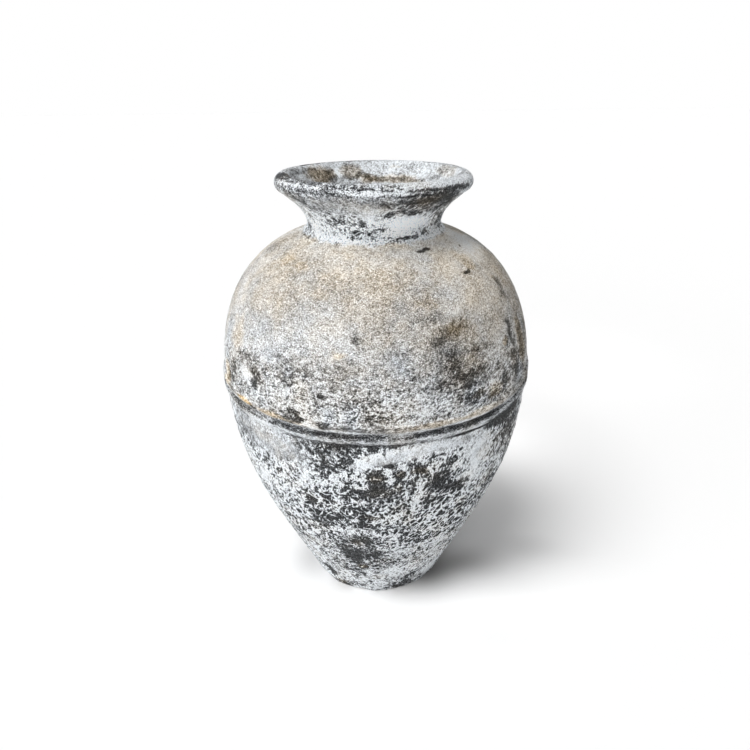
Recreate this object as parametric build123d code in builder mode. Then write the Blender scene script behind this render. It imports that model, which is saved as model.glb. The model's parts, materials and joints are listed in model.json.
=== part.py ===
"""Greek pithos: a tall clay storage jar, raised in courses that are luted edge to edge.

Millimetres, +Z up. The origin is the centre of the underside, and the jar's axis is Z.
Every piece is a wall section turned about that axis. Sections are drawn with X as the radius
and Y as the height. A course has a round tongue along its lower edge, which sits in a groove
of the same shape along the upper edge of the piece below.
"""

import math
import os

from build123d import *

# Heights of the four stretches of the jar, from the ground up
base_thickness = 28.0
lower_height = 490.0
shoulder_height = 283.0
neck_height = 99.0

# Outer radii
base_radius = 160.0
belly_radius = 311.0
throat_radius = 125.0
mouth_radius = 181.0

# Leans of the wall, in degrees: foot and flare from upright, shoulder from level
foot_lean = 22.3
flare_lean = 48.4
shoulder_fall = 26.0

# How strongly the outline holds its direction at each end of a curve
foot_reach = 232.0
belly_reach = 175.0
shoulder_reach = 242.0
neck_reach = 30.0
throat_reach = 37.0
flare_reach = 33.0

# Walls
body_wall = 18.0
neck_wall = 16.0
throat_height = 14.0

# Number of wall courses below and above the widest line
lower_courses = 3
shoulder_courses = 3

# Tongue and groove along each seam
tongue_width = 8.0
tongue_depth = 3.0

# Lip, a round roll that the flare's edge holds by a little less than its width
lip_radius = 15.5
lip_bare_outside = 1.0
lip_bare_inside = 2.0

# The two cords round the widest line: the lower one covers the join
cordon_height = 17.0
cordon_depth = 4.5
cordon_gap = 4.0

# Film of liquid clay that sticks a cord to the wall
slip_film = 0.3

# Rolls of clay pressed into the corners at the floor and at the neck's foot
floor_coil_leg = 22.0
neck_coil_rise = 8.0
neck_coil_spread = 10.0
coil_hollow = 0.25

base_edge_round = 4.0

# Heights and points that follow from the sizes above
belly_level = base_thickness + lower_height
neck_level = belly_level + shoulder_height
total_height = neck_level + neck_height


def leaning(angle_from_upright):
    """Unit direction in the section that leans outwards from upright by an angle in degrees."""
    lean = math.radians(angle_from_upright)
    return Vector(math.sin(lean), math.cos(lean))


def lower_curve(inset):
    """Wall line from the slab to the widest line, inset from the outer face by a thickness."""
    rise = leaning(foot_lean)
    foot = Vector(base_radius + base_thickness * rise.X / rise.Y - inset / rise.Y, base_thickness)
    belly = Vector(belly_radius - inset, belly_level)
    with BuildLine() as wall:
        Bezier(foot, foot + rise * foot_reach, belly - Vector(0, belly_reach), belly)
    return wall.edge()


def shoulder_curve(inset):
    """Wall line from the widest line to the neck hole, inset by a thickness."""
    fall = leaning(90.0 + shoulder_fall)
    inward = Vector(fall.Y, -fall.X)
    belly = Vector(belly_radius - inset, belly_level)
    neck = Vector(throat_radius, neck_level) + inward * inset
    with BuildLine() as wall:
        Bezier(belly, belly + Vector(0, shoulder_reach), neck + fall * neck_reach, neck)
    return wall.edge()


lower_outside = lower_curve(0.0)
lower_inside = lower_curve(body_wall)
shoulder_outside = shoulder_curve(0.0)
shoulder_inside = shoulder_curve(body_wall)
lower_seat = lower_curve(-slip_film)
shoulder_seat = shoulder_curve(-slip_film)
foot_outer = lower_outside @ 0
foot_inner = lower_inside @ 0
neck_outer = shoulder_outside @ 1
neck_inner = shoulder_inside @ 1
lip_centre = Vector(mouth_radius - lip_radius, total_height - lip_radius)


def along(curve, distance):
    """Point on a curve at a distance along it from its start."""
    return curve.position_at(distance, PositionMode.LENGTH)


def draw_seam(outside, inside):
    """Line across the wall: a flat, the round tongue that points down the wall, and a flat."""
    across = (inside - outside).normalized()
    down = Vector(-across.Y, across.X)
    middle = (outside + inside) / 2
    half_tongue = across * (tongue_width / 2)
    Line(outside, middle - half_tongue)
    ThreePointArc(middle - half_tongue, middle + down * tongue_depth, middle + half_tongue)
    Line(middle + half_tongue, inside)


def draw_hollow_face(start, corner, end):
    """Face of a pressed-in roll: an arc from start to end, drawn in towards their corner."""
    middle = (start + end) / 2
    ThreePointArc(start, middle + (corner - middle) * coil_hollow, end)


def write(piece, name):
    """Labels a finished piece and writes it to its own file."""
    piece.part.label = name
    export_step(piece.part, f"parts/{name}.step")


os.makedirs("parts", exist_ok=True)


# Base slab, with the groove for the first course round its top edge
with BuildPart() as base_slab:
    with BuildSketch(Plane.XZ):
        with BuildLine():
            Polyline((0, base_thickness), (0, 0), (base_radius, 0), foot_outer)
            draw_seam(foot_outer, foot_inner)
            Line(foot_inner, (0, base_thickness))
        make_face()
    revolve(axis=Axis.Z)
    fillet(base_slab.edges().group_by(Axis.Z)[0], base_edge_round)
write(base_slab, "base_slab")


# Floor coil, in the inner corner between the slab and the first course
with BuildPart() as floor_coil:
    with BuildSketch(Plane.XZ):
        with BuildLine():
            wall_end = along(lower_inside, floor_coil_leg)
            floor_end = foot_inner - Vector(floor_coil_leg, 0)
            add(lower_inside.trim(0, wall_end))
            Line(foot_inner, floor_end)
            draw_hollow_face(wall_end, foot_inner, floor_end)
        make_face()
    revolve(axis=Axis.Z)
write(floor_coil, "floor_coil")


def make_courses(outside, inside, count, name):
    """Wall between two curves, cut by seams into courses of the same length along the wall."""
    for number in range(count):
        start = outside.param_at_point(along(outside, outside.length * number / count))
        end = outside.param_at_point(along(outside, outside.length * (number + 1) / count))
        with BuildPart() as course:
            with BuildSketch(Plane.XZ):
                with BuildLine():
                    add(outside.trim(start, end))
                    add(inside.trim(start, end))
                    draw_seam(outside @ start, inside @ start)
                    draw_seam(outside @ end, inside @ end)
                make_face()
            revolve(axis=Axis.Z)
        write(course, f"{name}_{number + 1}")


make_courses(lower_outside, lower_inside, lower_courses, "lower_course")
make_courses(shoulder_outside, shoulder_inside, shoulder_courses, "shoulder_course")


# Lower cordon, half of it below the join at the widest line and half above
with BuildPart() as lower_cordon:
    with BuildSketch(Plane.XZ):
        with BuildLine():
            bottom = along(lower_seat, lower_seat.length - cordon_height / 2)
            top = along(shoulder_seat, cordon_height / 2)
            add(lower_seat.trim(bottom, 1))
            add(shoulder_seat.trim(0, top))
            ThreePointArc(bottom, (belly_radius + cordon_depth, belly_level), top)
        make_face()
    revolve(axis=Axis.Z)
write(lower_cordon, "lower_cordon")


# Upper cordon, above the lower one by the gap that reads as a groove
with BuildPart() as upper_cordon:
    with BuildSketch(Plane.XZ):
        with BuildLine():
            first = cordon_height / 2 + cordon_gap
            bottom = along(shoulder_seat, first)
            top = along(shoulder_seat, first + cordon_height)
            crest = along(shoulder_outside, first + cordon_height / 2) + Vector(cordon_depth, 0)
            add(shoulder_seat.trim(bottom, top))
            ThreePointArc(bottom, crest, top)
        make_face()
    revolve(axis=Axis.Z)
write(upper_cordon, "upper_cordon")


# Ends of the flare, both inside the lip's roll, so that the roll beds into the flare's edge
flare_rise = leaning(flare_lean)
flare_across = Vector(flare_rise.Y, -flare_rise.X)
flare_outer = lip_centre + flare_across * (lip_radius - lip_bare_outside)
flare_inner = lip_centre - flare_across * (lip_radius - lip_bare_inside)
with BuildLine() as neck_outside:
    Bezier(
        neck_outer,
        neck_outer + Vector(0, throat_reach),
        flare_outer - flare_rise * flare_reach,
        flare_outer,
    )
neck_face = neck_outside.edge()


# Neck and flare, seated on the shoulder's edge, with the lip's bed cut round its top
with BuildPart() as neck_flare:
    with BuildSketch(Plane.XZ):
        with BuildLine():
            bore = throat_radius - neck_wall
            slope = math.tan(math.radians(shoulder_fall))
            turn = Vector(bore, neck_inner.Y + (neck_inner.X - bore) * slope)
            throat = Vector(bore, neck_level + throat_height)
            add(neck_face)
            Line(flare_outer, flare_inner)
            Bezier(
                flare_inner,
                flare_inner - flare_rise * flare_reach,
                throat + Vector(0, throat_reach),
                throat,
            )
            Bezier(throat, turn, neck_inner)
            draw_seam(neck_outer, neck_inner)
        make_face()
        with Locations(lip_centre):
            Circle(lip_radius, mode=Mode.SUBTRACT)
    revolve(axis=Axis.Z)
write(neck_flare, "neck_flare")


# Neck coil, in the outer corner between the shoulder and the neck
with BuildPart() as neck_coil:
    with BuildSketch(Plane.XZ):
        with BuildLine():
            neck_end = along(neck_face, neck_coil_rise)
            shoulder_end = along(shoulder_outside, shoulder_outside.length - neck_coil_spread)
            add(neck_face.trim(0, neck_end))
            add(shoulder_outside.trim(shoulder_end, 1))
            draw_hollow_face(neck_end, neck_outer, shoulder_end)
        make_face()
    revolve(axis=Axis.Z)
write(neck_coil, "neck_coil")


# Lip, one roll of clay bedded in the flare's edge
with BuildPart() as lip_roll:
    with BuildSketch(Plane.XZ):
        with Locations(lip_centre):
            Circle(lip_radius)
    revolve(axis=Axis.Z)
write(lip_roll, "lip_roll")
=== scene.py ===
# %% [markdown]
# # A weathered pithos
# The jar is a tall Greek storage jar of fired clay. It was raised in courses on a base slab, and two
# cords of clay cover the join at its widest line. Years outdoors have left white lime and dark soot on
# it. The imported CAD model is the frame: it gives every size, and each piece below stands for one node.

# %% Load the frame
import json
import math
import bpy
import numpy as np
from mathutils import Matrix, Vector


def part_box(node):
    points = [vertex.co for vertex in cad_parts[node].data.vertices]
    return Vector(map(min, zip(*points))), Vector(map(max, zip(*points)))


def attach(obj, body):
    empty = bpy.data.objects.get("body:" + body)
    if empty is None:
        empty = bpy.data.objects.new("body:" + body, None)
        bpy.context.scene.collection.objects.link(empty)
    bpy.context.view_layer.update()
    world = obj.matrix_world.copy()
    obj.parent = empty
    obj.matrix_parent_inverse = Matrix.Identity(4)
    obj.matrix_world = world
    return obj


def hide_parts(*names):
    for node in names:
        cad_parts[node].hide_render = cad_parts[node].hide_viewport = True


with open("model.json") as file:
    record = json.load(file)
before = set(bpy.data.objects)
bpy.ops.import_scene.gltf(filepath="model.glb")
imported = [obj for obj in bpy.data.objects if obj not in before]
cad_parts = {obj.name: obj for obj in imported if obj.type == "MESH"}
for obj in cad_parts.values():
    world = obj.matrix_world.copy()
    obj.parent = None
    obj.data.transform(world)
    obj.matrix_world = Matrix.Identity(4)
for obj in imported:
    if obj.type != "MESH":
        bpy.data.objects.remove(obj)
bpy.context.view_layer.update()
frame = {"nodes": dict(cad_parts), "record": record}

mm = 0.001
nodes = frame["nodes"]
scene = bpy.context.scene
scene.view_settings.view_transform = "Standard"

# %% [markdown]
# ## Camera
# The jar is seen from a little above its mouth and from close by, so the shoulder looks broad and the
# foot small. A wide lens near the jar gives that; a long lens further off would flatten it. The camera
# is rolled by two thirds of a degree, because the picture leans.

# %% Camera
look_down = math.radians(27.49)
lean = math.radians(0.65)
lens_in_mm = 26.4
sensor_in_mm = 36.0
camera_place = (-0.0018, -1.0609, 1.0313)
camera_data = bpy.data.cameras.new("jar_camera")
camera_data.sensor_width = sensor_in_mm
camera_data.lens = lens_in_mm
camera = bpy.data.objects.new("jar_camera", camera_data)
scene.collection.objects.link(camera)
turn = Matrix.Rotation(math.pi / 2 - look_down, 4, "X") @ Matrix.Rotation(-lean, 4, "Z")
camera.matrix_world = Matrix.Translation(camera_place) @ turn
scene.camera = camera
print("camera looks down by", round(math.degrees(look_down), 2), "degrees")

# %% [markdown]
# ## Shader helpers
# A material is a small network of nodes, and so is the sky. It can be drawn in the shader editor or made
# by script. Here four helpers make it: one empties a network, one tells what the camera sees straight,
# and two do sums on numbers and on vectors, so that the networks below read like formulas.

# %% Shader helpers
def shader_tree(owner):
    """Empties the node tree of a material or a world and returns its nodes and links."""
    owner.use_nodes = True
    owner.node_tree.nodes.clear()
    return owner.node_tree.nodes, owner.node_tree.links


def seen_directly(tree_nodes, links):
    """Socket that is 1 for what the camera sees straight, mirrored or through glass, else 0."""
    path = tree_nodes.new("ShaderNodeLightPath")
    shares = ["Is Camera Ray", "Is Glossy Ray", "Is Transmission Ray"]
    total = path.outputs[shares[0]]
    for share in shares[1:]:
        larger = tree_nodes.new("ShaderNodeMath")
        larger.operation = "MAXIMUM"
        links.new(total, larger.inputs[0])
        links.new(path.outputs[share], larger.inputs[1])
        total = larger.outputs[0]
    return total


def math_node(group, operation, first, second):
    """Math node on two values, each a socket or a number; returns its output socket."""
    node = group.nodes.new("ShaderNodeMath")
    node.operation = operation
    for slot, value in enumerate((first, second)):
        if isinstance(value, (int, float)):
            node.inputs[slot].default_value = value
        else:
            group.links.new(value, node.inputs[slot])
    return node.outputs[0]


def vector_node(group, operation, first, second):
    """Vector math node on two vectors, each a socket or a triple; returns its output socket."""
    node = group.nodes.new("ShaderNodeVectorMath")
    node.operation = operation
    for slot, value in enumerate((first, second)):
        if isinstance(value, tuple):
            node.inputs[slot].default_value = value
        else:
            group.links.new(value, node.inputs[slot])
    return node.outputs["Value" if operation == "DOT_PRODUCT" else "Vector"]


white = (1.0, 1.0, 1.0, 1.0)
print("shader helpers ready")

# %% [markdown]
# ## Sky and suns
# The jar stands in soft daylight from the left. An even white sky and a broad sun give that light all
# over the ground; a lamp near the jar would leave the distance dark. A low, weak light from the front
# reaches the lower wall, which faces down. The camera sees the sky itself as plain white.

# %% Sky and suns
sky_level = 0.27
sun_level = 0.68
front_level = 0.55

sky = bpy.data.worlds.new("white_sky")
scene.world = sky
tree_nodes, links = shader_tree(sky)
daylight = tree_nodes.new("ShaderNodeBackground")
daylight.inputs["Strength"].default_value = sky_level
backdrop = tree_nodes.new("ShaderNodeBackground")
backdrop.inputs["Strength"].default_value = 1.0
for light in (daylight, backdrop):
    light.inputs["Color"].default_value = white
choose = tree_nodes.new("ShaderNodeMixShader")
output = tree_nodes.new("ShaderNodeOutputWorld")
links.new(seen_directly(tree_nodes, links), choose.inputs[0])
links.new(daylight.outputs[0], choose.inputs[1])
links.new(backdrop.outputs[0], choose.inputs[2])
links.new(choose.outputs[0], output.inputs["Surface"])


def add_sun(name, level, spread, azimuth, elevation):
    """Sun of a given strength and spread; azimuth minus is left of the camera; angles in degrees."""
    lamp = bpy.data.lights.new(name, "SUN")
    lamp.energy = level * math.pi
    lamp.angle = math.radians(spread)
    sun = bpy.data.objects.new(name, lamp)
    scene.collection.objects.link(sun)
    sun.rotation_euler = (math.radians(90 - elevation), 0.0, math.radians(azimuth))


add_sun("left_sun", sun_level, spread=34, azimuth=-53, elevation=63)
add_sun("front_light", front_level, spread=60, azimuth=-45, elevation=14)
print("sky", sky_level, "sun", sun_level, "front", front_level)

# %% [markdown]
# ## White ground
# The ground is white, and the jar's shadow falls on it to the right. A floor also throws light back up on
# the wall, which a plain backdrop couldn't do. It glows a little for the camera alone, which lifts it to
# white and keeps the shadow. Painted shadow, dark spots in the ground's colour, deepens it at the foot,
# most at the right; painted light, spots of extra glow, keeps the ground in front of the jar and behind it
# white.

# %% White ground
ground_glow = 0.03
chalk_level = 0.95
reach = 30.0

floor_mesh = bpy.data.meshes.new("white_ground")
corners = [(-reach, -reach, 0), (reach, -reach, 0), (reach, reach, 0), (-reach, reach, 0)]
floor_mesh.from_pydata(corners, [], [(0, 1, 2, 3)])
floor = bpy.data.objects.new("white_ground", floor_mesh)
scene.collection.objects.link(floor)
ground = bpy.data.materials.new("white_ground")
tree_nodes, links = shader_tree(ground)
place = tree_nodes.new("ShaderNodeTexCoord").outputs["Object"]


def ground_spots(spots):
    """Sum of soft spots on the ground, each its amount times exp(-d^2), d in radii from its middle."""
    tree = ground.node_tree
    total = 0.0
    for x, y, wide, deep, amount in spots:
        aside = vector_node(tree, "SUBTRACT", place, (x, y, 0.0))
        radii = vector_node(tree, "MULTIPLY", aside, (1 / wide, 1 / deep, 0.0))
        squared = vector_node(tree, "DOT_PRODUCT", radii, radii)
        fade = math_node(tree, "POWER", 1 / math.e, squared)
        total = math_node(tree, "ADD", total, math_node(tree, "MULTIPLY", fade, amount))
    return total


# each spot: x and y of its middle, half its width and depth, all in metres, and its amount
# painted shadow: dark spots in the ground's colour at the foot, most at its right
darker = [
    (0.11, -0.115, 0.065, 0.055, 0.70), (0.20, -0.075, 0.10, 0.045, 0.50),
    (0.36, -0.03, 0.10, 0.05, 0.20), (-0.16, -0.06, 0.05, 0.06, 0.25),
]
# painted light: spots of extra glow, seen by the camera alone, in front of the jar and behind it
lighter = [
    (0.18, -0.20, 0.25, 0.055, 0.25), (0.42, -0.13, 0.15, 0.06, 0.08),
    (0.35, 0.41, 0.21, 0.20, 0.40), (0.75, 0.85, 0.5, 0.5, 0.08),
]
chalk = tree_nodes.new("ShaderNodeBsdfDiffuse")
kept = math_node(ground.node_tree, "SUBTRACT", 1.0, ground_spots(darker))
links.new(math_node(ground.node_tree, "MULTIPLY", kept, chalk_level), chalk.inputs["Color"])
glow = tree_nodes.new("ShaderNodeEmission")
glow.inputs["Color"].default_value = white
glowing = math_node(ground.node_tree, "ADD", ground_spots(lighter), ground_glow)
strength = math_node(ground.node_tree, "MULTIPLY", seen_directly(tree_nodes, links), glowing)
both = tree_nodes.new("ShaderNodeAddShader")
output = tree_nodes.new("ShaderNodeOutputMaterial")
links.new(strength, glow.inputs["Strength"])
links.new(chalk.outputs[0], both.inputs[0])
links.new(glow.outputs[0], both.inputs[1])
links.new(both.outputs[0], output.inputs["Surface"])
floor_mesh.materials.append(ground)
print("ground with", len(darker), "darker and", len(lighter), "lighter spots")

# %% [markdown]
# ## Reading the sections
# A potter checks a jar's outline with a profile gauge, a row of needles pressed against the wall. The
# same is done here on the CAD solids: needles at even heights are pushed in from outside, or out from
# the axis, and stop at the clay. The joins are the section points that two neighbours share.

# %% Sections, seams and the profile gauge
needles = 150


def section(node):
    """Radius and height of each vertex of a node, doubles merged to a tenth of a millimetre."""
    flat = np.empty(len(nodes[node].data.vertices) * 3)
    nodes[node].data.vertices.foreach_get("co", flat)
    x, y, z = flat.reshape(-1, 3).T
    return np.unique(np.column_stack([np.hypot(x, y), z]).round(4), axis=0)


def seam(below, above):
    """Line of a join from outside to inside: the points that two neighbours share, by falling radius."""
    shared = set(map(tuple, section(below))) & set(map(tuple, section(above)))
    return np.array(sorted(shared, reverse=True))


def gauge(node, start, end, inside=False):
    """Wall line between two section points: needles at even heights, pushed until they meet clay."""
    heights = np.linspace(start[1], end[1], needles)[1:-1]
    origin, push = (0.0, 1) if inside else (1.0, -1)
    touched = [nodes[node].ray_cast((origin, mm, height), (push, 0, 0)) for height in heights]
    line = [(math.hypot(spot[0], spot[1]), spot[2]) for hit, spot, _, _ in touched if hit]
    return np.vstack([start, line, end])


def even_steps(line, step):
    """The line divided anew into equal steps of about the given length, measured along it."""
    walked = np.append(0.0, np.cumsum(np.hypot(*np.diff(line, axis=0).T)))
    marks = np.linspace(0.0, walked[-1], max(2, round(walked[-1] / step) + 1))
    return np.column_stack([np.interp(marks, walked, line[:, side]) for side in (0, 1)])


courses = [f"lower_course_{n}" for n in (1, 2, 3)] + [f"shoulder_course_{n}" for n in (1, 2, 3)]
stack = ["base_slab"] + courses + ["neck_flare"]
joins = {above: seam(below, above) for below, above in zip(stack, stack[1:])}
for above, line in joins.items():
    print("seam under", above, len(line), "points, outer corner", line[0], "inner corner", line[-1])

# %% [markdown]
# ## Random fields
# Clay, lime and soot are uneven at every scale. Two fields of fixed random numbers are enough: clouds,
# which swell and fade smoothly, and cells, which give the distance to the nearest of many scattered
# points and so make pits with thin ridges between them. Both are worked out in space, so they run on
# over a join from one piece to the next.

# %% Clouds and cells
def dice(cube, seed):
    """Fixed random number from 0 to 1 for each whole-numbered cube: its indices are mixed bit by bit."""
    number = cube[..., 0] * np.uint32(374761393) + cube[..., 1] * np.uint32(668265263)
    number = number + cube[..., 2] * np.uint32(2246822519) + np.uint32(seed * 3266489917 % 2**32)
    number = (number ^ (number >> np.uint32(15))) * np.uint32(2654435761)
    number = (number ^ (number >> np.uint32(13))) * np.uint32(1274126177)
    return (number ^ (number >> np.uint32(16))) / 2.0**32


def cube_of(corner):
    """Whole-numbered cube index as unsigned numbers, which wrap round instead of going below zero."""
    return corner.astype(np.int64).astype(np.uint32)


def clouds(points, seed):
    """Smooth noise from -1 to 1: random numbers at the corners of unit cubes, blended by a soft step."""
    corner = np.floor(points)
    inside = points - corner
    fade = inside**3 * (inside * (inside * 6 - 15) + 10)
    total = 0.0
    for step in np.ndindex(2, 2, 2):
        share = np.prod(np.where(step, fade, 1 - fade), axis=-1)
        total = total + share * dice(cube_of(corner + step), seed)
    return total * 2 - 1


def layered(points, size, layers, seed):
    """Clouds of one size plus finer ones, each layer half as large and 0.6 as strong as the last."""
    total = 0.0
    for layer in range(layers):
        total = total + 0.6**layer * clouds(points * (2.0**layer / size), seed + 17 * layer)
    return total


def cells(points, seed):
    """Distance to the nearest and to the second nearest of scattered points, one in each unit cube."""
    corner = np.floor(points)
    nearest = np.full(points.shape[:-1], 9.0)
    second = nearest.copy()
    for step in np.ndindex(3, 3, 3):
        cube = corner + step - 1
        place = cube + np.stack([dice(cube_of(cube), seed + axis) for axis in range(3)], axis=-1)
        away = np.sqrt(((points - place) ** 2).sum(axis=-1))
        second = np.minimum(second, np.maximum(nearest, away))
        nearest = np.minimum(nearest, away)
    return nearest, second


def soft_step(value, low, high):
    """0 below low, 1 above high, and a smooth S between them."""
    share = np.clip((value - low) / (high - low), 0, 1)
    return share * share * (3 - 2 * share)


print("fields ready, e.g.", round(float(clouds(np.array([[0.3, 0.6, 0.9]]), 1)[0]), 4))
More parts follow.
